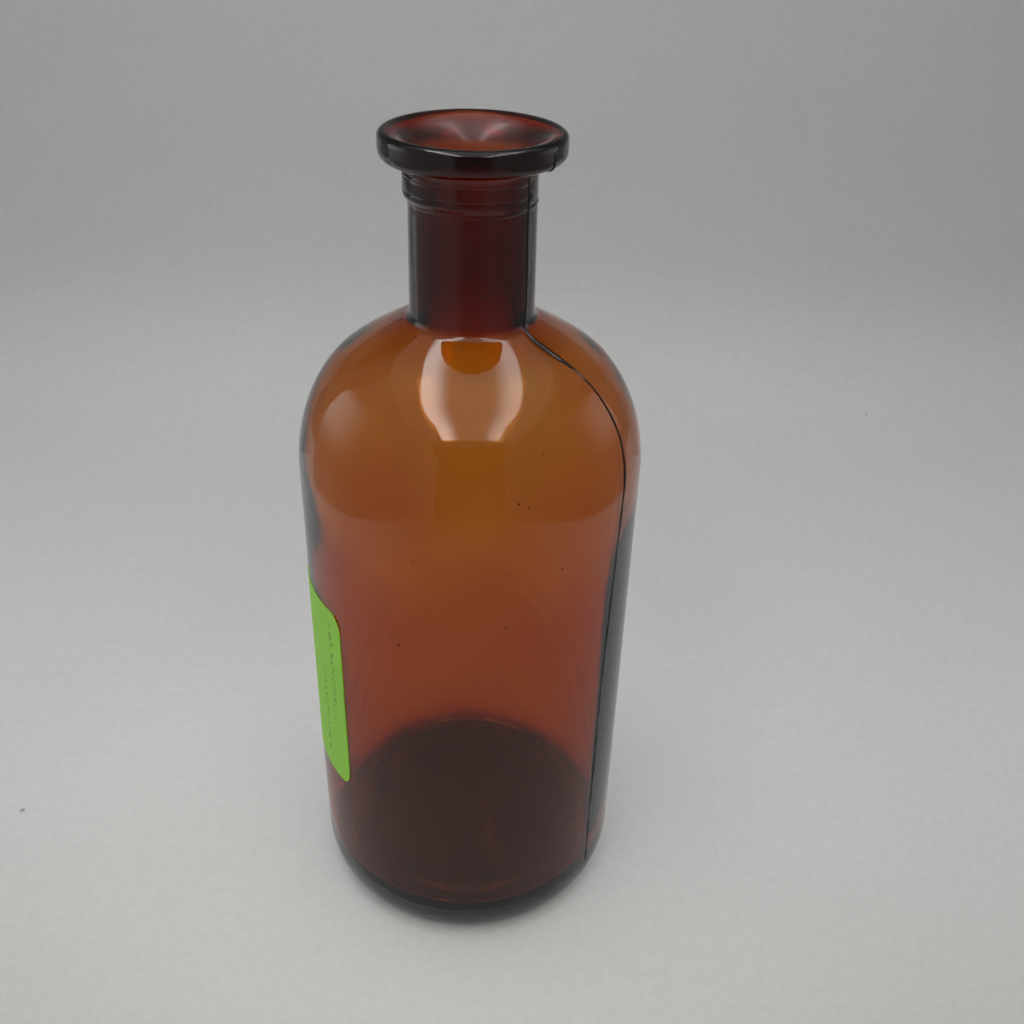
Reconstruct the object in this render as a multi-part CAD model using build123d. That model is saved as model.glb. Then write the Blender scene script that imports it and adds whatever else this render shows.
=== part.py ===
from build123d import *
import os
from math import cos, degrees, radians, sin

# An amber moulded-glass reagent bottle, 500 ml size, with the paper sticker on its side.
# Millimetres. +Z is up, the origin is the centre of the base on the surface that it stands on,
# and -Y is the front. Angles go round +Z from +X. Outlines are drawn as radius, height.

# Overall
bottle_height = 190.0
body_radius = 38.0

# Base: a flat ring to stand on, round a pushed-up centre, with an elliptical heel outside it
foot_radius = 31.7
foot_width = 3.7
push_up = 2.5
heel_height = 11.3

# Shoulder: an elliptical bulge from the top of the straight body, then a cone up to the neck
shoulder_start = 119.2
shoulder_centre = 14.3
shoulder_rise = 30.1
shoulder_turn = 66.5

# Neck, with a bead where the neck mould parted and a slightly wider collar above it
neck_foot_radius = 13.1
neck_foot_height = 152.7
neck_top_radius = 12.9
neck_foot_fillet = 1.2
bead_radius = 13.7
bead_bottom = 175.9
bead_width = 1.4
collar_radius = 13.3
collar_fillet = 2.6

# Flanged lip: an upright outer face with rounded edges, under a rim that slopes outwards
flange_under = 184.9
lip_radius = 18.5
lip_top = 189.5
lip_lower_fillet = 1.7
lip_upper_fillet = 1.0
rim_radius = 17.0

# Hollow: a thick round floor with a trough outside it where the heel is thin, a thin wall,
# a straight bore, a funnel above it and a flared mouth
floor_height = 10.2
floor_crown = 0.8
floor_radius = 30.0
floor_edge = 1.2
trough_radius = 33.0
trough_height = 5.4
trough_top = 14.0
body_wall = 1.8
hollow_shoulder_rise = 28.2
bore_radius = 7.4
bore_foot = 154.0
bore_foot_fillet = 8.0
bore_top = 174.0
funnel_radius = 10.0
funnel_top = 184.0

# Mould seams: a thin ridge on each side of the bottle, from the heel to the lip
seam_angle = -36.0
seam_width = 0.7
seam_height = 0.18
seam_bottom = 5.0
seam_top = 189.0

# Sticker, wrapped round the straight body with its long side upright
label_height = 51.0
label_width = 25.4
label_bottom = 40.7
label_right_edge = -138.4
label_thickness = 0.15
label_corner = 3.5


def shoulder_bulge(reach, rise):
    """The bulge of the shoulder, from the straight side to where the cone starts."""
    return EllipticalCenterArc(
        (shoulder_centre, shoulder_start), reach, rise, arc_size=shoulder_turn
    )


def filleted(section, radius, x, y):
    """The section with its corner nearest to x, y rounded."""
    corner = section.vertices().sort_by_distance((x, y, 0))[0]
    return fillet(corner, radius)


def outside_section(grow=0.0):
    """Half-section of the bottle as if it were solid, with its upright walls moved out by grow."""
    reach = body_radius - shoulder_centre
    foot = foot_radius - foot_width

    base = ThreePointArc((0, push_up), (foot / 2, push_up * 0.76), (foot, 0))
    ring = Line(base @ 1, (foot_radius, 0))
    heel = EllipticalCenterArc(
        (foot_radius, heel_height),
        body_radius + grow - foot_radius,
        heel_height,
        -90,
        arc_size=90,
    )
    side = Line(heel @ 1, (body_radius + grow, shoulder_start))
    shoulder = shoulder_bulge(reach + grow, shoulder_rise + grow)
    lean = radians(shoulder_turn)
    neck_foot = (neck_foot_radius + grow * cos(lean), neck_foot_height + grow * sin(lean))
    neck = Polyline(
        shoulder @ 1,
        neck_foot,
        (neck_top_radius + grow, bead_bottom),
        (bead_radius + grow, bead_bottom + bead_width / 2),
        (collar_radius + grow, bead_bottom + bead_width),
        (collar_radius + grow, flange_under),
        (lip_radius + grow, flange_under),
        (lip_radius + grow, lip_top),
        (rim_radius, bottle_height),
        (0, bottle_height),
        (0, push_up),
    )

    section = make_face([base, ring, heel, side, shoulder, neck])
    section = filleted(section, neck_foot_fillet - grow, *neck_foot)
    section = filleted(section, collar_fillet - grow, collar_radius + grow, flange_under)
    section = filleted(section, lip_lower_fillet, lip_radius + grow, flange_under)
    return filleted(section, lip_upper_fillet, lip_radius + grow, lip_top)


def hollow_section():
    """Half-section of the space inside the bottle, open at the rim."""
    wall_radius = body_radius - body_wall
    reach = wall_radius - shoulder_centre

    floor = ThreePointArc(
        (0, floor_height + floor_crown),
        (floor_radius / 2, floor_height + floor_crown * 0.75),
        (floor_radius, floor_height),
    )
    bank = Line(floor @ 1, (trough_radius, trough_height))
    trough = EllipticalCenterArc(
        (trough_radius, trough_top),
        wall_radius - trough_radius,
        trough_top - trough_height,
        -90,
        arc_size=90,
    )
    side = Line(trough @ 1, (wall_radius, shoulder_start))
    shoulder = shoulder_bulge(reach, hollow_shoulder_rise)
    bore = Polyline(
        shoulder @ 1,
        (bore_radius, bore_foot),
        (bore_radius, bore_top),
        (funnel_radius, funnel_top),
    )
    mouth = TangentArc(bore @ 1, (rim_radius, bottle_height), tangent=bore % 1)
    lid = Polyline(
        mouth @ 1,
        (rim_radius, bottle_height + 1),
        (0, bottle_height + 1),
        (0, floor_height + floor_crown),
    )
    section = make_face([floor, bank, trough, side, shoulder, bore, mouth, lid])
    section = filleted(section, floor_edge, floor_radius, floor_height)
    return filleted(section, bore_foot_fillet, bore_radius, bore_foot)


def turned(section):
    """The solid of revolution of a half-section about the bottle's axis."""
    return revolve(Plane.XZ * section, Axis.Z)


def seams():
    """A thin upright slab across the bottle that stands proud of it at the two mould seams."""
    half = extrude(Plane.XZ * outside_section(seam_height), seam_width / 2, both=True)
    span = Box(
        4 * body_radius, seam_width, seam_top - seam_bottom,
        align=(Align.CENTER, Align.CENTER, Align.MIN),
    )
    slab = (half + mirror(half, Plane.YZ)) & Pos(0, 0, seam_bottom) * span
    return Rot(0, 0, seam_angle) * slab


def make_bottle():
    """The whole bottle: one piece of glass with its seams, hollow up to the open mouth."""
    return turned(outside_section()) + seams() - turned(hollow_section())


def make_label():
    """The sticker: a thin rectangle with round corners, wrapped on the body."""
    half_turn = degrees(label_width / body_radius) / 2
    middle = label_right_edge - half_turn
    flat_width = 2 * body_radius * sin(radians(half_turn))
    sheet = Cylinder(body_radius + label_thickness, 2 * label_height)
    sheet -= Cylinder(body_radius, 2 * label_height)
    cut = Plane.YZ * RectangleRounded(flat_width, label_height, label_corner)
    sticker = sheet & extrude(cut, 2 * body_radius)
    return Pos(0, 0, label_bottom + label_height / 2) * Rot(0, 0, middle) * sticker


parts = {
    "bottle": make_bottle(),
    "label": make_label(),
}

os.makedirs("parts", exist_ok=True)
for name, solid in parts.items():
    solid.label = name
    export_step(solid, "parts/" + name + ".step")
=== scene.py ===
"""Looks, light and camera for the amber reagent bottle and its sticker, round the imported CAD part."""

import math

import bpy
import numpy as np
from mathutils import Matrix, Vector


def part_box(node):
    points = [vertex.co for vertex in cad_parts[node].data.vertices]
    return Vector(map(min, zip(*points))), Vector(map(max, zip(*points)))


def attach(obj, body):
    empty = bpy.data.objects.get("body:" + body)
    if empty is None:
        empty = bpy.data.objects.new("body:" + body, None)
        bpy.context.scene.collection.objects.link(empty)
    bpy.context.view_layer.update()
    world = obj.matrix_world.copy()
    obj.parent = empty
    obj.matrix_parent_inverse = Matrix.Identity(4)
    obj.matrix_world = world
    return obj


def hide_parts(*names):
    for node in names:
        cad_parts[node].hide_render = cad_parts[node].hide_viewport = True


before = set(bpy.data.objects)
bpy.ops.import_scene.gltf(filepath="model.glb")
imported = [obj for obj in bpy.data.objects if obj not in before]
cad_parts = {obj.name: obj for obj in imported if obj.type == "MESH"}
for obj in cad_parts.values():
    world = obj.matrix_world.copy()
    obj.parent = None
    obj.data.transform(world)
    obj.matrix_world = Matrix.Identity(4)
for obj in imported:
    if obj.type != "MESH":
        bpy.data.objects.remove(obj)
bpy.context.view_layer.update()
bottle_low, bottle_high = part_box("bottle")
label_low, label_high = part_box("label")

# ---------------------------------------------------------------------------------------------
# Driving dimensions of the glass, in millimetres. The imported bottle's height fixes their scale.
# ---------------------------------------------------------------------------------------------
bottle_height = 190.0
mm = (bottle_high.z - bottle_low.z) / bottle_height

body_radius = 38.0
foot_radius = 31.7
foot_width = 3.7
push_up = 2.5
heel_height = 11.3

shoulder_start = 119.2
shoulder_centre = 14.3
shoulder_rise = 30.1
shoulder_turn = 66.5
shoulder_blend = 8.0

neck_foot_radius = 13.1
neck_foot_height = 152.7
neck_radius = 12.9
neck_foot_rounding = 1.5
collar_rounding = 2.6

flange_under = 184.9
lip_radius = 18.5
lip_top = 189.7
lip_lower_rounding = 1.9
lip_upper_rounding = 1.1
rim_radius = 17.0
rim_rounding = 0.5

floor_height = 10.2
floor_crown = 0.8
floor_radius = 30.0
floor_edge_rounding = 1.0
trough_radius = 33.0
trough_rounding = 0.9
trough_height = 7.4
trough_top = 14.0
body_wall = 1.8
hollow_shoulder_rise = 28.2
bore_radius = 7.4
bore_foot = 154.0
bore_foot_rounding = 6.0
bore_top = 174.0
bore_top_rounding = 3.0
funnel_radius = 10.0
funnel_top = 184.0

# Marks of the moulds. Heights are above the base, angles go round from +X.
seam_angle = -36.0
seam_half_width = 0.36
seam_height = 0.22
seam_bottom = 4.0
seam_top = 188.6
seam_drift = ((15, -0.6), (75, -0.4), (95, 1.2), (120, 3.3), (133, 6.0), (146, 4.4), (151, -2.5),
              (158, 3.0), (176, 1.5), (190, 0.5))
far_seam_share = 0.1
parting_height = 176.6
parting_wobble = 0.35
collar_overhang = 0.5
collar_lean = 0.5
bead_size = 0.16
knot_angle = -31.0
knot_height = 179.0
knot_size = 0.45
dent_depth = 0.5

# The bore is hazy from this height up, and the ground mouth is hazier from the next one; the haze's
# darker tint there is partly painted shade under the lip
haze_bottom = 149.0
mouth_haze_bottom = 172.0
bore_haze = 0.35

# Painted shade darkens the underside and fades out up the heel, where the floor under the bottle is in
# shade
underside_painted_shade = 0.98
heel_painted_shade_top = 9.0

# Unevenness of the blown glass
outer_ripple = 0.02
inner_ripple = 0.10
shoulder_thinning = 0.75
thick_side_extra = 1.3
thick_side_angle = -12.0
thick_side_spread = 27.0
seed_count = 46

# The sticker, and how thick its CAD solid is
cad_label_thickness = 0.15
label_gap = 0.02
label_thickness = 0.14
label_corner = 3.5
label_curl = 0.22


# ---------------------------------------------------------------------------------------------
# Outline of the glass, as radius and height
# ---------------------------------------------------------------------------------------------
def ellipse(centre, radii, start, end, steps):
    """Points of an elliptical arc between two angles in degrees."""
    turn = np.radians(np.linspace(start, end, steps + 1))
    return np.column_stack((centre[0] + radii[0] * np.cos(turn), centre[1] + radii[1] * np.sin(turn)))


def straight(start, end, steps):
    """Evenly spaced points on a straight run."""
    return np.linspace(start, end, steps + 1)


def joined(*runs):
    """One path from runs that each start where the last one ends."""
    return np.vstack([runs[0]] + [run[1:] for run in runs[1:]])


def tangent_arc(start, heading, end, steps):
    """Points of the circular arc that leaves start in a direction, turns right and ends at end."""
    start = np.array(start)
    heading = np.array(heading) / math.hypot(*heading)
    side = np.array((heading[1], -heading[0]))
    chord = np.array(end) - start
    radius = chord @ chord / (2 * chord @ side)
    centre = start + radius * side
    first, last = (math.degrees(math.atan2(*(spot - centre)[::-1])) for spot in (start, start + chord))
    return ellipse(centre, (radius, radius), first, last, steps)


def rounded(path, corner, reach, steps=9):
    """The path with the corner there turned into a curve from reach before it to reach after it."""
    step = 0.05
    middle = int(np.argmin(np.hypot(*(path - corner).T)))
    along = np.concatenate(([0], np.cumsum(np.hypot(*np.diff(path, axis=0).T))))

    def spot(distance):
        return np.array([np.interp(along[middle] + distance, along, path[:, axis]) for axis in (0, 1)])

    start, end = spot(-reach), spot(reach)
    leaving, arriving = start - spot(-reach - step), spot(reach + step) - end
    reaches = np.linalg.lstsq(np.column_stack((leaving, arriving)), end - start, rcond=None)[0]
    meeting = start + reaches[0] * leaving
    t = np.linspace(0, 1, steps)[:, None]
    curve = (1 - t) ** 2 * start + 2 * t * (1 - t) * meeting + t**2 * end
    before = path[along < along[middle] - reach - step]
    after = path[along > along[middle] + reach + step]
    return np.vstack((before, curve, after))


def outside_path():
    """Outer surface, from the centre of the base to the rim."""
    reach = body_radius - shoulder_centre
    foot = foot_radius - foot_width
    across = np.linspace(0, 1, 15)
    base = np.column_stack((foot * across, push_up * (1 - across**2)))
    heel = ellipse((foot_radius, heel_height), (body_radius - foot_radius, heel_height), -90, 0, 18)
    bulge = ellipse((shoulder_centre, shoulder_start), (reach, shoulder_rise), 0, shoulder_turn, 40)
    shoulder = joined(bulge, straight(bulge[-1], (neck_foot_radius, neck_foot_height), 14))
    marks_bottom = parting_height - 2.4
    marks_top = parting_height + 6.6
    path = joined(
        base,
        straight((foot, 0), (foot_radius, 0), 3),
        heel,
        straight((body_radius, heel_height), (body_radius, shoulder_start), 50),
        shoulder,
        straight(shoulder[-1], (neck_radius, marks_bottom), 22),
        straight((neck_radius, marks_bottom), (neck_radius, marks_top), 66),
        straight((neck_radius, marks_top), (neck_radius, flange_under), 8),
        straight((neck_radius, flange_under), (lip_radius, flange_under), 14),
        straight((lip_radius, flange_under), (lip_radius, lip_top), 14),
        straight((lip_radius, lip_top), (rim_radius, bottle_height), 8),
    )
    path = rounded(path, bulge[-1], shoulder_blend, 15)
    path = rounded(path, shoulder[-1], neck_foot_rounding)
    path = rounded(path, (neck_radius, flange_under), collar_rounding)
    path = rounded(path, (lip_radius, flange_under), lip_lower_rounding)
    return rounded(path, (lip_radius, lip_top), lip_upper_rounding)


def inside_path():
    """Inner surface, from the rim down to the centre of the floor."""
    wall_radius = body_radius - body_wall
    reach = wall_radius - shoulder_centre
    bulge = ellipse(
        (shoulder_centre, shoulder_start), (reach, hollow_shoulder_rise), shoulder_turn, 0, 40
    )
    shoulder = joined(straight((bore_radius, bore_foot), bulge[0], 16), bulge)
    funnel = (funnel_radius - bore_radius, funnel_top - bore_top)
    flare = tangent_arc((funnel_radius, funnel_top), funnel, (rim_radius, bottle_height), 30)
    trough = ellipse(
        (trough_radius, trough_top), (wall_radius - trough_radius, trough_top - trough_height),
        0, -90, 16,
    )
    across = np.linspace(1, 0, 13)
    path = joined(
        flare[::-1],
        straight((funnel_radius, funnel_top), (bore_radius, bore_top), 24),
        straight((bore_radius, bore_top), shoulder[0], 24),
        shoulder,
        straight((wall_radius, shoulder_start), (wall_radius, trough_top), 60),
        trough,
        straight(trough[-1], (floor_radius, floor_height), 8),
        np.column_stack((floor_radius * across, floor_height + floor_crown * (1 - across**2))),
    )
    path = rounded(path, (bore_radius, bore_top), bore_top_rounding, 7)
    path = rounded(path, shoulder[0], bore_foot_rounding, 11)
    path = rounded(path, bulge[0], shoulder_blend, 15)
    path = rounded(path, trough[-1], trough_rounding, 7)
    return rounded(path, (floor_radius, floor_height), floor_edge_rounding)


def whole_path():
    """The outline from the centre of the base, over the rim, to the centre of the floor."""
    path = joined(outside_path(), inside_path())
    return rounded(path, (rim_radius, bottle_height), rim_rounding, 7)


# ---------------------------------------------------------------------------------------------
# How the real surface leaves that outline. Angles in degrees, offsets in millimetres along the
# surface's own normal, out of the glass.
# ---------------------------------------------------------------------------------------------
def smooth(value):
    """0 below 0, 1 above 1, and an even curve between."""
    value = np.clip(value, 0, 1)
    return value * value * (3 - 2 * value)


def bump(distance, half_width):
    """1 at no distance, falling smoothly to 0 at half_width."""
    return np.clip(1 - (distance / half_width) ** 2, 0, 1) ** 2


def turned(angle):
    """The same direction as an angle from -180 to 180 degrees."""
    return (angle + 180) % 360 - 180


def ripples(angle, height, seed, waves, most_round, shortest):
    """Smooth waves of about -1 to 1 that close up round the bottle, shortest mm long up and down."""
    draw = np.random.default_rng(seed)
    total = 0
    for _ in range(waves):
        around = draw.integers(0, most_round + 1)
        rise = draw.uniform(-360, 360) / shortest
        phase = draw.uniform(0, 360)
        total = total + np.cos(np.radians(around * angle + rise * height + phase))
    return total / math.sqrt(waves)


def seam_centre(height):
    """Angle of the mould seam at a height: it drifts a little where the mould halves met badly."""
    heights, drifts = zip(*seam_drift)
    return seam_angle + np.interp(height, heights, drifts)


def seam_distance(angle, height, radius):
    """Distance round the glass, in mm, from the near seam and from the far one."""
    off_near = turned(angle - seam_centre(height))
    return np.radians(off_near) * radius, np.radians(turned(off_near + 180)) * radius


def seam_ridge(angle, height, radius):
    """The thin ridge on both sides of the bottle, fainter on the far side."""
    off_near, off_far = seam_distance(angle, height, radius)
    ridge = bump(off_near, seam_half_width) + far_seam_share * bump(off_far, seam_half_width)
    strength = 1 + 0.35 * ripples(angle * 0, height, 11, 9, 0, 9)
    ends = smooth((height - seam_bottom) / 3) * smooth((seam_top - height) / 0.8)
    return seam_height * ridge * strength * ends


def parting_line(angle):
    """Height of the ragged line round the neck where the neck mould met the body mould."""
    return parting_height + parting_wobble * ripples(angle, 0, 5, 6, 5, 30)


def ring_lines(angle):
    """Heights over the parting line, and depths, of the faint lines round the collar."""
    return [
        (place + 0.08 * ripples(angle, 0, seed, 5, 7, 30), depth)
        for place, depth, seed in ((-1.0, -0.03, 21), (2.6, -0.07, 22), (5.2, -0.09, 24))
    ]


def collar(angle, height):
    """The neck ring: it overhangs the neck, most on the left, with a bead and faint lines."""
    above = height - parting_line(angle)
    ring = collar_overhang - collar_lean * np.cos(np.radians(angle))
    overhang = ring * smooth((above + 0.2) / 1.9) * smooth((flange_under + 1.5 - height) / 3)
    bead = bead_size * bump(above - 0.1, 0.4)
    lines = sum(size * bump(above - place, 0.3) for place, size in ring_lines(angle))
    off_seam = np.radians(turned(angle - knot_angle)) * neck_radius
    knot = knot_size * bump(np.hypot(off_seam, (height - knot_height) / 1.5), 1.1)
    dent = dent_depth * bump(np.hypot(off_seam - 0.4, height - knot_height - 0.3), 0.6)
    return overhang + bead + lines + knot - dent


def outer_offset(angle, height, radius):
    """Ripples, seams and collar of the outer surface. They die out towards the middle of the base."""
    on_side = smooth((height - 1) / 6)
    near_collar = smooth((height - 172) / 2) * smooth((flange_under + 1.5 - height) / 2)
    ripple = outer_ripple * ripples(angle, height, 1, 16, 5, 40)
    return on_side * ripple + seam_ridge(angle, height, radius) + near_collar * collar(angle, height)


def wall_change(angle, height):
    """How much thicker than usual the wall is: slim in the shoulder, heavy low on the right."""
    slim = smooth((height - 88) / 36) * smooth((152 - height) / 8)
    heavy = bump(turned(angle - thick_side_angle), thick_side_spread) * smooth((112 - height) / 25)
    return thick_side_extra * heavy - shoulder_thinning * slim


def inner_offset(angle, height, radius):
    """The inner surface is wavier, and the wall's thickness changes round and up the bottle."""
    above_floor = smooth((height - trough_height - 3) / 16)
    in_body = smooth((radius - bore_radius - 1) / 12) * above_floor
    wave = inner_ripple * ripples(angle, height, 2, 22, 7, 26) * smooth((height - 20) / 25)
    in_bore = 0.05 * ripples(angle, height, 3, 10, 4, 30) * smooth((height - 140) / 10)
    return in_body * (wall_change(angle, height) + wave) + in_bore


# ---------------------------------------------------------------------------------------------
# Marks that only change the surface, from 0 to 1: painted shade outside, and the bore's haze, whose tint
# is partly painted shade
# ---------------------------------------------------------------------------------------------
def painted_shade(angle, height, radius):
    """Painted shade: dark lines in the near seam, thickest at the neck's foot, in the collar's rings and
    at the knot, where the seam and rings bend light away, and painted shade on the underside and the
    heel, over the shaded floor under the bottle."""
    off_seam, _ = seam_distance(angle, height, radius)
    patchiness = 0.75 + 0.35 * ripples(angle * 0, height, 31, 9, 0, 7)
    on_neck = smooth((height - 146) / 4)
    at_foot = bump(height - 149.5, 5)
    high_on_body = bump(height - 100, 34)
    width = 0.3 + 0.9 * at_foot + 0.45 * high_on_body
    strength = np.clip(patchiness + at_foot + on_neck, 0, 1)
    seam = 4 * bump(off_seam, width) * strength * smooth((height - 6) / 5)
    above = height - parting_line(angle)
    sideways = smooth((np.abs(np.cos(np.radians(angle))) - 0.35) / 0.35)
    ring = bump(above, 0.3) * (0.2 + 0.8 * sideways)
    deep_lines = (place for place, depth in ring_lines(angle) if depth < -0.05)
    ring = ring + sum(0.5 * bump(above - place, 0.3) for place in deep_lines)
    off_knot = np.hypot(np.radians(turned(angle - knot_angle)) * neck_radius, height - knot_height)
    knot = bump(off_knot, 1.2) * smooth(0.5 + 2 * ripples(angle * 3, height, 33, 9, 9, 2))
    underside = underside_painted_shade * smooth((heel_painted_shade_top - height) / 5)
    return np.clip(seam + ring + knot + underside, 0, 1)


# The haze also tints the glass darker: real frosting, and in the mouth partly painted shade that darkens
# the collar under the lip
def haze(height):
    """Some in the bore, and 1 in the mouth up to just inside the rim."""
    in_mouth = smooth((height - mouth_haze_bottom) / 8) * smooth((bottle_height - height) / 2)
    return smooth((height - haze_bottom) / 3) * (bore_haze + (1 - bore_haze) * in_mouth)


def normals(path):
    """Unit normals of a path, pointing out of the glass on its right-hand side."""
    along = np.gradient(path, axis=0)
    across = np.column_stack((along[:, 1], -along[:, 0]))
    return across / np.linalg.norm(across, axis=1)[:, None]


def column_angles():
    """Angles round the bottle from one seam to itself again, closest together at both seams."""
    quarter = [0.0]
    while quarter[-1] < 90:
        quarter.append(quarter[-1] + min(0.1 + 0.06 * quarter[-1], 1.5))
    quarter = np.array(quarter) * 90 / quarter[-1]
    half = np.concatenate((quarter, 180 - quarter[-2:0:-1]))
    return np.concatenate((half, half + 180))


# ---------------------------------------------------------------------------------------------
# Pieces of the object
# ---------------------------------------------------------------------------------------------
def new_piece(name, points, faces, material, node):
    """A smooth mesh piece from points in millimetres, which stands for a CAD node."""
    mesh = bpy.data.meshes.new(name)
    mesh.from_pydata((np.asarray(points) * mm).tolist(), [], faces)
    mesh.shade_smooth()
    mesh.materials.append(material)
    piece = bpy.data.objects.new(name, mesh)
    piece.location.z = bottle_low.z
    bpy.context.scene.collection.objects.link(piece)
    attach(piece, "root")
    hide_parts(node)
    return piece


def capped_faces(rings, around):
    """Faces over rings of points, one ring after another, closed by the two points that follow."""
    first_cap = rings * around
    last_ring = (rings - 1) * around
    faces = []
    for ring in range(rings - 1):
        here, there = ring * around, (ring + 1) * around
        for k in range(around):
            after = (k + 1) % around
            faces.append((here + k, here + after, there + after, there + k))
    for k in range(around):
        after = (k + 1) % around
        faces.append((first_cap, after, k))
        faces.append((first_cap + 1, last_ring + k, last_ring + after))
    return faces


def spun_glass():
    """Points, faces, painted shade and haze of the bottle's wall: its outer and inner surfaces, one
    skin.
    """
    path = whole_path()
    facing = normals(path)
    rim = int(np.argmax(path[:, 1]))
    turns = column_angles()
    rings, painted_shading, hazy = [], [], []
    for place, (radius, height) in enumerate(path[1:-1], start=1):
        angle = turns + seam_centre(height)
        outer = place <= rim
        offset = (outer_offset if outer else inner_offset)(angle, height, radius)
        reach = radius + offset * facing[place, 0]
        level = height + offset * facing[place, 1]
        rings.append(np.column_stack(
            (reach * np.cos(np.radians(angle)), reach * np.sin(np.radians(angle)), level)
        ))
        painted_shading.append(painted_shade(angle, height, radius) if outer else 0 * angle)
        hazy.append(0 * angle if outer else haze(height) + 0 * angle)
    points = np.vstack(rings + [[(0, 0, path[0, 1])], [(0, 0, path[-1, 1])]])
    faces = capped_faces(len(rings), len(turns))
    return points, faces, np.append(np.concatenate(painted_shading), underside_painted_shade), np.concatenate(hazy)


def seed_bubble(centre, radii, around=12, rings=6):
    """Points and faces of a tiny gas bubble in the glass: its skin faces inwards."""
    turn = np.linspace(0, 2 * math.pi, around, endpoint=False)
    skin = []
    for tilt in np.linspace(0, math.pi, rings + 2)[1:-1]:
        ring = np.column_stack(
            (math.sin(tilt) * np.cos(turn), math.sin(tilt) * np.sin(turn), 0 * turn + math.cos(tilt))
        )
        skin.append(ring * radii + centre)
    to_top = np.array((0, 0, radii[2]))
    points = np.vstack(skin + [[centre + to_top], [centre - to_top]])
    return points, capped_faces(rings, around)


def seeds():
    """Small bubbles scattered in the middle of the body's wall."""
    draw = np.random.default_rng(8)
    points, faces = [], []
    for _ in range(seed_count):
        angle = math.radians(draw.uniform(-180, 180))
        height = draw.uniform(20, 108)
        size = draw.uniform(0.08, 0.26)
        middle = body_radius - 0.85
        centre = np.array((middle * math.cos(angle), middle * math.sin(angle), height))
        bubble, skin = seed_bubble(centre, size * np.array((1, 1, draw.uniform(1, 2.2))))
        faces += [tuple(corner + len(points) for corner in face) for face in skin]
        points += bubble.tolist()
    return np.array(points), faces


def add_surface_value(piece, name, values):
    """A value at each point of a piece for its material to read: 0 at points past the list's end."""
    layer = piece.data.attributes.new(name, "FLOAT", "POINT")
    padded = np.zeros(len(piece.data.vertices))
    padded[:len(values)] = values
    layer.data.foreach_set("value", padded)


def make_bottle(material):
    """The glass, with its seams, collar, uneven wall and seeds, in one mesh."""
    wall, wall_faces, painted_shading, hazy = spun_glass()
    bubbles, bubble_faces = seeds()
    shifted = [tuple(corner + len(wall) for corner in face) for face in bubble_faces]
    bottle = new_piece(
        "amber_bottle", np.vstack((wall, bubbles)), wall_faces + shifted,
        material, "bottle",
    )
    # Painted shade on the seams, collar rings and underside, and the haze, for the material to read
    add_surface_value(bottle, "painted_shade", painted_shading)
    add_surface_value(bottle, "haze", hazy)


def label_edge_angle(y):
    """Angle round the glass of an upright edge of the CAD sticker, which is on the -X side."""
    reach = (body_radius + cad_label_thickness) * mm
    return math.degrees(math.atan2(y, -math.sqrt(reach**2 - y**2)))


def label_span():
    """Middle angle, half-width round the glass, bottom and height of the sticker, from its CAD box."""
    right = label_edge_angle(label_low.y)
    width = (right - label_edge_angle(label_high.y)) % 360
    half_width = math.radians(width / 2) * body_radius
    bottom = (label_low.z - bottle_low.z) / mm
    tall = (label_high.z - label_low.z) / mm
    return right - width / 2, half_width, bottom, tall


def label_point(sideways, level, lift):
    """A point of the sticker from its place on the flat paper: the corners curl off the glass."""
    middle, half_width, bottom, tall = label_span()
    angle = middle + math.degrees(sideways / body_radius)
    edge = smooth((abs(sideways) / half_width - 0.72) / 0.28)
    end = smooth((abs(2 * level / tall - 1) - 0.8) / 0.2)
    height = bottom + level
    reach = body_radius + lift + label_curl * edge * end
    reach += outer_offset(angle, height, body_radius)
    return reach * math.cos(math.radians(angle)), reach * math.sin(math.radians(angle)), height


def label_levels(tall):
    """Heights of the sticker's rows of points, closest together at its round corners."""
    bend = np.radians(np.linspace(0, 90, 9))
    corner_rows = label_corner * (1 - np.cos(bend))
    inner_rows = np.linspace(label_corner, tall - label_corner, 60)[1:-1]
    return np.concatenate((corner_rows, inner_rows, tall - corner_rows[::-1]))


def label_faces(rows, columns):
    """Faces of the sticker's two sheets, the back one first in the points, and of its thin edge."""
    front = rows * columns
    sheets = []
    for row in range(rows - 1):
        for column in range(columns - 1):
            a = row * columns + column
            b, c, d = a + 1, a + 1 + columns, a + columns
            sheets.append((front + a, front + b, front + c, front + d))
            sheets.append((d, c, b, a))
    loop = list(range(columns))
    loop += [row * columns + columns - 1 for row in range(1, rows)]
    loop += [(rows - 1) * columns + column for column in range(columns - 2, -1, -1)]
    loop += [row * columns for row in range(rows - 2, 0, -1)]
    edge = [(a, b, front + b, front + a) for a, b in zip(loop, loop[1:] + loop[:1])]
    return sheets, edge


def make_label(material):
    """The paper sticker: it follows the glass, with round corners that curl off a little."""
    _, half_width, _, tall = label_span()
    levels = label_levels(tall)
    across = np.linspace(-1, 1, 49)
    points, spots = [], []
    for lift in (label_gap, label_gap + label_thickness):
        for level in levels:
            into_corner = max(0.0, label_corner - min(level, tall - level))
            inset = label_corner - math.sqrt(label_corner**2 - into_corner**2)
            for share in across:
                sideways = share * (half_width - inset)
                points.append(label_point(sideways, level, lift))
                spots.append((0.5 + 0.5 * sideways / half_width, level / tall))
    sheets, edge = label_faces(len(levels), len(across))
    label = new_piece("green_label", points, sheets + edge, material, "label")
    unwrapped = label.data.uv_layers.new(name="paper")
    for corner in label.data.loops:
        unwrapped.data[corner.index].uv = spots[corner.vertex_index]
    for face in label.data.polygons[-len(edge):]:
        face.use_smooth = False


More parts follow.
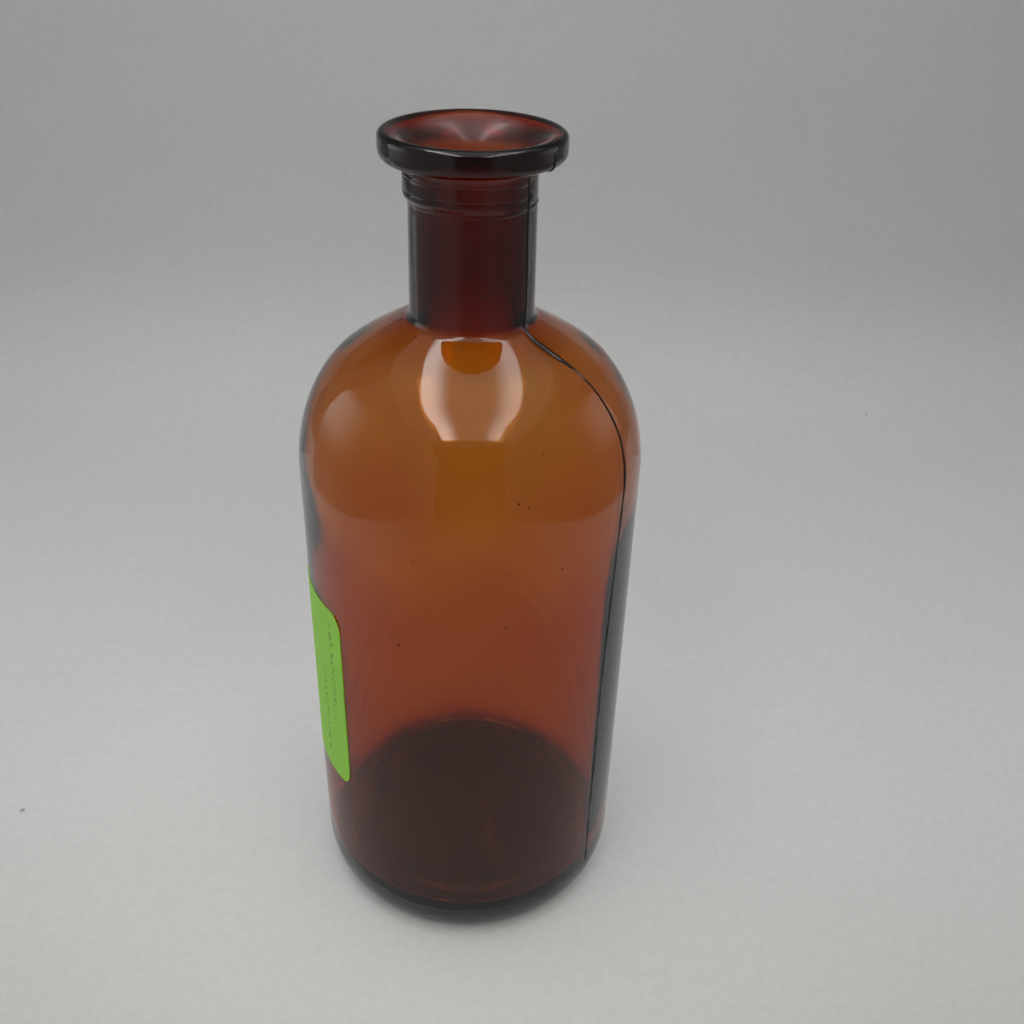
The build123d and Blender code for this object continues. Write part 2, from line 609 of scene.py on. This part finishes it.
# ---------------------------------------------------------------------------------------------
# Materials
# ---------------------------------------------------------------------------------------------
# The glass: its colour by depth, and the tints of its skin, dust specks, painted shade and haze, the
# haze's tint partly painted shade
amber_depth = (0.877, 0.593, 0.0, 1)
amber_density = 1660.0
clear_tint = (0.97, 0.965, 0.96, 1)
speck_tint = (0.10, 0.06, 0.04, 1)
painted_shade_tint = (0.012, 0.010, 0.010, 1)
haze_and_shade_tint = (0.76, 0.58, 0.45, 1)
haze_roughness = 0.42
haze_coat = 0.3

# The sticker: its two greens, its worn ink, and the left, right, bottom and top of each column of
# worn marks as shares of the paper
paper_tints = ((0.36, 0.85, 0.05, 1), (0.42, 0.93, 0.075, 1))
ink_tint = (0.05, 0.16, 0.04, 1)
ink_strength = 0.55
mark_columns = ((0.80, 0.86, 0.36, 0.92), (0.62, 0.67, 0.10, 0.62))


def add_node(tree, kind, sockets=(), **settings):
    """A shader node with its settings, and its inputs as (socket, value or other node's output)."""
    made = tree.nodes.new("ShaderNode" + kind)
    for name, value in settings.items():
        setattr(made, name, value)
    for name, value in sockets:
        if isinstance(value, bpy.types.NodeSocket):
            tree.links.new(value, made.inputs[name])
        else:
            made.inputs[name].default_value = value
    return made


def new_material(name):
    """An empty node material, its tree and its output node."""
    material = bpy.data.materials.new(name)
    material.use_nodes = True
    tree = material.node_tree
    tree.nodes.clear()
    return material, tree, tree.nodes.new("ShaderNodeOutputMaterial")


def math_node(tree, operation, first, second=0.0):
    """The output of a Math node."""
    return add_node(tree, "Math", ((0, first), (1, second)), operation=operation).outputs[0]


def ramp(tree, value, low, high, start=0.0, end=1.0):
    """A value taken smoothly from one range to another."""
    made = add_node(
        tree, "MapRange",
        (("Value", value), ("From Min", low), ("From Max", high), ("To Min", start), ("To Max", end)),
        interpolation_type="SMOOTHSTEP",
    )
    return made.outputs["Result"]


def product(tree, first, *others):
    """Values multiplied together."""
    for factor in others:
        first = math_node(tree, "MULTIPLY", first, factor)
    return first


def within(tree, value, low, high):
    """1 where a value is between two limits, and 0 elsewhere."""
    above = math_node(tree, "GREATER_THAN", value, low)
    return product(tree, above, math_node(tree, "LESS_THAN", value, high))


def mixed(tree, factor, first, second):
    """A colour that goes from the first to the second as the factor goes from 0 to 1."""
    made = add_node(tree, "Mix", (("Factor", factor), ("A", first), ("B", second)), data_type="RGBA")
    return made.outputs["Result"]


def noise(tree, place, scale, detail, roughness=0.5):
    """Cloudy values round 0.5."""
    sockets = (("Vector", place), ("Scale", scale), ("Detail", detail), ("Roughness", roughness))
    return add_node(tree, "TexNoise", sockets).outputs["Fac"]


def specks(tree, place, scale, rarity, largest):
    """1 on round specks of different sizes and 0 between them. Only cells over the rarity have one."""
    cells = add_node(tree, "TexVoronoi", (("Vector", place), ("Scale", scale), ("Randomness", 1.0)))
    chance = add_node(tree, "SeparateColor", (("Color", cells.outputs["Color"]),))
    size = ramp(tree, chance.outputs["Red"], rarity, 1.0, 0.0, largest)
    return math_node(tree, "LESS_THAN", cells.outputs["Distance"], size)


def amber_glass():
    """Clear amber glass: colour by depth, with dust specks, painted shade, faint smudges and a slightly
    wavy skin.
    """
    material, tree, output = new_material("amber_glass_look")
    place = add_node(tree, "TexCoord").outputs["Object"]
    painted_shade_mask = add_node(tree, "Attribute", attribute_name="painted_shade").outputs["Fac"]
    film_and_shade = add_node(tree, "Attribute", attribute_name="haze").outputs["Fac"]
    tint = mixed(tree, specks(tree, place, 210.0, 0.80, 0.055), clear_tint, speck_tint)
    # Painted shade: near-black on the seam and ring lines and on the underside
    tint = mixed(tree, painted_shade_mask, tint, painted_shade_tint)
    # Haze tint: frosted bore and mouth, darkened partly as painted shade under the lip
    tint = mixed(tree, film_and_shade, tint, haze_and_shade_tint)
    smudge = ramp(tree, noise(tree, place, 55.0, 4.0, 0.6), 0.45, 0.75, 0.0, 0.05)
    frosted = math_node(tree, "ADD", smudge, product(tree, film_and_shade, haze_roughness))
    wave = noise(tree, place, 140.0, 1.0, 0.4)
    skin = add_node(tree, "Bump", (("Strength", 0.06), ("Distance", 0.0004), ("Height", wave)))
    glass = add_node(
        tree, "BsdfPrincipled",
        (("Base Color", tint), ("Transmission Weight", 1.0), ("IOR", 1.52), ("Roughness", frosted),
         ("Normal", skin.outputs["Normal"]),
         ("Coat Weight", product(tree, film_and_shade, haze_coat)), ("Coat Roughness", 0.08)),
    )
    depth = add_node(tree, "VolumeAbsorption", (("Color", amber_depth), ("Density", amber_density)))
    tree.links.new(glass.outputs[0], output.inputs["Surface"])
    tree.links.new(depth.outputs[0], output.inputs["Volume"])
    return material


def worn_marks(tree, spot):
    """Faint broken strokes in two columns of the paper, which aren't writing."""
    axes = add_node(tree, "SeparateXYZ", (("Vector", spot),)).outputs
    columns = [
        product(tree, within(tree, axes["X"], left, right), within(tree, axes["Y"], bottom, top))
        for left, right, bottom, top in mark_columns
    ]
    stretched = add_node(tree, "Mapping", (("Vector", spot), ("Scale", (26.0, 34.0, 1.0))))
    strokes = ramp(tree, noise(tree, stretched.outputs["Vector"], 1.0, 3.0), 0.50, 0.56)
    return product(tree, math_node(tree, "MAXIMUM", *columns), strokes, ink_strength)


def green_paper():
    """Bright green sticker paper with a fine grain, pale blotches and worn marks."""
    material, tree, output = new_material("green_paper_look")
    spot = add_node(tree, "UVMap", uv_map="paper").outputs["UV"]
    place = add_node(tree, "TexCoord").outputs["Object"]
    fibre = noise(tree, place, 900.0, 5.0, 0.7)
    plain = mixed(tree, noise(tree, place, 90.0, 2.0), *paper_tints)
    relief = add_node(tree, "Bump", (("Strength", 0.25), ("Distance", 0.0001), ("Height", fibre)))
    paper = add_node(
        tree, "BsdfPrincipled",
        (("Base Color", mixed(tree, worn_marks(tree, spot), plain, ink_tint)),
         ("Roughness", ramp(tree, fibre, 0.3, 0.7, 0.45, 0.62)),
         ("Normal", relief.outputs["Normal"])),
    )
    tree.links.new(paper.outputs[0], output.inputs["Surface"])
    return material


# ---------------------------------------------------------------------------------------------
# Studio: a light tent. A pale sweep for the floor and rear, pale walls further out, a glowing roof
# with two bright strips, and cards that only reflections see, for the tent's darker open sides.
# Places are in metres from the middle of the bottle's base, and a pair of them is where a change
# starts and where it ends.
# ---------------------------------------------------------------------------------------------
room_half_width = 0.34
room_front = -0.64
room_rear = 0.31
room_height = 0.62
cove_radius = 0.11
board_shade = 0.91
# Painted shade: the board darkens up the rear and towards the front, where less light falls
rear_painted_shade = 0.79
rear_fade = (0.0, 0.07)
front_painted_shade = 0.74
front_fade = (-0.20, 0.06)
front_blue = 0.90
front_blue_fade = (-0.22, 0.02)
# Painted light: the board glows round the bottle to soften the bottle's shadow
board_glow = 0.085
board_glow_tint = (1.0, 0.98, 0.95, 1)
glow_reach = (0.04, 0.15)

roof_height = 0.446
roof_half_width = 0.25
roof_front = -0.35
roof_rear = 0.20
strip_rear = (0.07, 0.10)
strip_sides = (-0.02, 0.02)
strip_inner = (0.05, 0.115)
strip_outer = (0.136, 0.146)
left_strip_glow = 5.2
right_strip_glow = 3.1
roof_glow = 0.78
roof_side_glow = 0.42

side_half_width = 0.245
side_rear = 0.11
front_glow = 0.09
left_glow, left_peak = 0.32, 1.3
right_glow, right_peak = 0.22, 0.8
band_front = (-0.08, 0.06)
band_bottom = (0.10, 0.18)
band_top = (0.22, 0.30)
near_floor_glow, far_floor_glow = 0.38, 0.17
floor_fade = (-0.45, -0.10)
left_floor_share, right_floor_share = 1.5, 1.25
floor_sides = (0.08, 0.22)
floor_card_lift = 0.0005
floor_card_hole = 0.045
floor_card_reach = 0.62
rear_card_bottom = 0.22
rear_glow = 0.08
fill_glow = 0.2


def position(tree):
    """The shaded point's place in the room, as separate X, Y and Z outputs."""
    spot = add_node(tree, "NewGeometry").outputs["Position"]
    return add_node(tree, "SeparateXYZ", (("Vector", spot),)).outputs


def board_marks(tree, spot):
    """Faint scuffs, fibres and a few crumbs, as a share of the board's shade."""
    scuffs = ramp(tree, noise(tree, spot, 9.0, 6.0, 0.55), 0.3, 0.7, 0.98, 1.0)
    fibres = ramp(tree, noise(tree, spot, 420.0, 4.0, 0.65), 0.3, 0.7, 0.965, 1.01)
    crumbs = ramp(tree, specks(tree, spot, 48.0, 0.75, 0.035), 0.0, 1.0, 1.0, 0.55)
    return product(tree, scuffs, fibres, crumbs)


def board_material():
    """Pale matt board, darker up the rear and towards the front as painted shade, yellower towards the
    front, and with a painted glow round the bottle that softens its shadow, as a light table would."""
    material, tree, output = new_material("pale_board")
    spot = add_node(tree, "NewGeometry").outputs["Position"]
    place = position(tree)
    # Painted shade up the rear and towards the front
    painted_shade_up_rear = ramp(tree, place["Z"], *rear_fade, board_shade, board_shade * rear_painted_shade)
    painted_shade_to_front = ramp(tree, place["Y"], *front_fade, front_painted_shade, 1.0)
    shade = product(tree, painted_shade_up_rear, painted_shade_to_front, board_marks(tree, spot))
    blue = product(tree, shade, ramp(tree, place["Y"], *front_blue_fade, front_blue, 1.0))
    paint = add_node(tree, "CombineXYZ", ((0, shade), (1, shade), (2, blue)))
    # Painted light: a glow that fades out away from the bottle
    away = add_node(tree, "VectorMath", ((0, spot),), operation="LENGTH").outputs["Value"]
    board = add_node(
        tree, "BsdfPrincipled",
        (("Base Color", paint.outputs["Vector"]), ("Roughness", 0.7),
         ("Emission Color", board_glow_tint),
         ("Emission Strength", ramp(tree, away, *glow_reach, board_glow, 0.0))),
    )
    tree.links.new(board.outputs[0], output.inputs["Surface"])
    return material


def glowing(name, light):
    """A material that only glows, with a strength that light(tree) works out from nodes."""
    material, tree, output = new_material(name)
    glow = add_node(tree, "Emission", (("Strength", light(tree)),))
    tree.links.new(glow.outputs[0], output.inputs["Surface"])
    return material


def roof_light(tree):
    """Dim at the sides, brighter in the middle, brightest along two strips with soft inner edges."""
    place = position(tree)
    aside = math_node(tree, "ABSOLUTE", place["X"])
    strips = product(
        tree,
        ramp(tree, aside, *strip_inner),
        ramp(tree, aside, *strip_outer, 1.0, 0.0),
        ramp(tree, place["Y"], *strip_rear, 1.0, 0.0),
        ramp(tree, place["X"], *strip_sides, left_strip_glow, right_strip_glow),
    )
    return math_node(tree, "ADD", strips, ramp(tree, aside, *strip_outer, roof_glow, roof_side_glow))


def side_light(glow, peak):
    """Cloth side of the tent: dim, with a bright band half-way up its rear part."""
    def light(tree):
        place = position(tree)
        band = product(
            tree,
            ramp(tree, place["Z"], *band_bottom),
            ramp(tree, place["Z"], *band_top, 1.0, 0.0),
            ramp(tree, place["Y"], *band_front),
            peak - glow,
        )
        return math_node(tree, "ADD", band, glow)
    return light


def front_light(tree):
    """The tent's dark open front."""
    return ramp(tree, position(tree)["Z"], 0.0, 0.4, front_glow * 1.2, front_glow * 0.9)


def rear_light(tree):
    """The dim upper rear, over the part that shows behind the bottle."""
    return ramp(tree, position(tree)["Z"], rear_card_bottom, 0.4, rear_glow * 2, rear_glow)


def floor_light(tree):
    """The floor as reflections see it: it falls away towards the open front and rises to the sides."""
    place = position(tree)
    inner, outer = floor_sides
    away = ramp(tree, place["Y"], *floor_fade, far_floor_glow, near_floor_glow)
    left = ramp(tree, place["X"], -outer, -inner, left_floor_share, 1.0)
    right = ramp(tree, place["X"], inner, outer, 1.0, right_floor_share)
    return product(tree, away, left, right)


def stage_piece(name, points, faces, material):
    """A piece of the set, in metres, which isn't part of the object."""
    mesh = bpy.data.meshes.new(name)
    mesh.from_pydata(points, [], faces)
    mesh.shade_smooth()
    mesh.materials.append(material)
    piece = bpy.data.objects.new(name, mesh)
    bpy.context.scene.collection.objects.link(piece)
    return piece


def make_sweep(material):
    """Floor that curves up into the rear wall."""
    floor = bottle_low.z
    cove = np.array((room_rear - cove_radius, floor + cove_radius))
    bend = ellipse(cove, (cove_radius, cove_radius), -90, 0, 18).tolist()
    outline = [(room_front, floor), *bend, (room_rear, floor + room_height)]
    points = [(side * room_half_width, y, z) for y, z in outline for side in (-1, 1)]
    faces = [(2 * k, 2 * k + 1, 2 * k + 3, 2 * k + 2) for k in range(len(outline) - 1)]
    stage_piece("sweep", points, faces, material)


def make_wall(name, start, end, height, material, bottom=0.0):
    """An upright wall between two places, from a height over the floor to another."""
    low, high = bottle_low.z + bottom, bottle_low.z + height
    points = [(*start, low), (*end, low), (*end, high), (*start, high)]
    return stage_piece(name, points, [(0, 1, 2, 3)], material)


def make_floor_card(material, around=48):
    """A flat ring just over the floor, clear of the bottle."""
    turns = np.linspace(0, 2 * math.pi, around, endpoint=False)
    height = bottle_low.z + floor_card_lift
    points = [
        (reach * math.cos(turn), reach * math.sin(turn), height)
        for reach in (floor_card_hole, floor_card_reach) for turn in turns
    ]
    faces = [(k, (k + 1) % around, around + (k + 1) % around, around + k) for k in range(around)]
    return stage_piece("card_floor", points, faces, material)


def only_reflected(piece):
    """Only mirror-like reflections see this piece. It neither shows, lights nor shades anything."""
    piece.visible_camera = False
    piece.visible_diffuse = False
    piece.visible_transmission = False
    piece.visible_shadow = False


def make_room():
    """The sweep, and walls that give light to the room but don't show in reflections."""
    board = board_material()
    make_sweep(board)
    corners = [(-room_half_width, room_rear), (-room_half_width, room_front),
               (room_half_width, room_front), (room_half_width, room_rear)]
    for name, start, end in zip(("left", "front", "right"), corners, corners[1:]):
        make_wall("wall_" + name, start, end, room_height, board).visible_glossy = False


def make_roof():
    """The glowing roof, which the camera doesn't see directly."""
    height = bottle_low.z + roof_height
    points = [(-roof_half_width, roof_front, height), (-roof_half_width, roof_rear, height),
              (roof_half_width, roof_rear, height), (roof_half_width, roof_front, height)]
    cloth = glowing("glowing_roof", roof_light)
    stage_piece("roof", points, [(0, 1, 2, 3)], cloth).visible_camera = False


def make_cards():
    """What reflections see of the floor and of the tent's open sides."""
    only_reflected(make_floor_card(glowing("reflected_floor", floor_light)))
    only_reflected(make_wall(
        "card_front", (-room_half_width, room_front), (room_half_width, room_front), room_height,
        glowing("open_front", front_light),
    ))
    only_reflected(make_wall(
        "card_rear", (-room_half_width, room_rear - 0.01), (room_half_width, room_rear - 0.01),
        room_height, glowing("open_rear", rear_light), rear_card_bottom,
    ))
    for name, x, light in (("left", -side_half_width, side_light(left_glow, left_peak)),
                           ("right", side_half_width, side_light(right_glow, right_peak))):
        only_reflected(make_wall(
            "card_" + name, (x, room_front), (x, side_rear), roof_height, glowing("open_" + name, light)
        ))


def make_fill():
    """A weak even light from all round."""
    world = bpy.data.worlds.new("soft_fill")
    world.use_nodes = True
    sky = world.node_tree.nodes["Background"]
    sky.inputs["Color"].default_value = (1, 1, 1, 1)
    sky.inputs["Strength"].default_value = fill_glow
    bpy.context.scene.world = world


# ---------------------------------------------------------------------------------------------
# Camera: its place in metres, its turns in radians and the length of its lens in millimetres
# ---------------------------------------------------------------------------------------------
camera_front = 0.2160
camera_height = 0.2394
camera_yaw = 0.0447
camera_pitch = 0.5604
camera_roll = 0.0311
lens_length = 38.56


def make_camera():
    """A near camera that looks down at the bottle from the front, tipped a little to one side."""
    flat = math.cos(camera_pitch)
    forward = Vector((math.sin(camera_yaw) * flat, math.cos(camera_yaw) * flat, -math.sin(camera_pitch)))
    level = Vector((math.cos(camera_yaw), -math.sin(camera_yaw), 0))
    above = level.cross(forward)
    right = level * math.cos(camera_roll) + above * math.sin(camera_roll)
    up = above * math.cos(camera_roll) - level * math.sin(camera_roll)
    lens = bpy.data.cameras.new("camera")
    lens.lens = lens_length
    lens.clip_start = 0.01
    camera = bpy.data.objects.new("camera", lens)
    facing = Matrix((right, up, -forward)).transposed().to_4x4()
    spot = (0, -camera_front, bottle_low.z + camera_height)
    camera.matrix_world = Matrix.Translation(spot) @ facing
    bpy.context.scene.collection.objects.link(camera)
    bpy.context.scene.camera = camera


make_bottle(amber_glass())
make_label(green_paper())
make_room()
make_roof()
make_cards()
make_fill()
make_camera()
bpy.context.scene.view_settings.view_transform = "Standard"
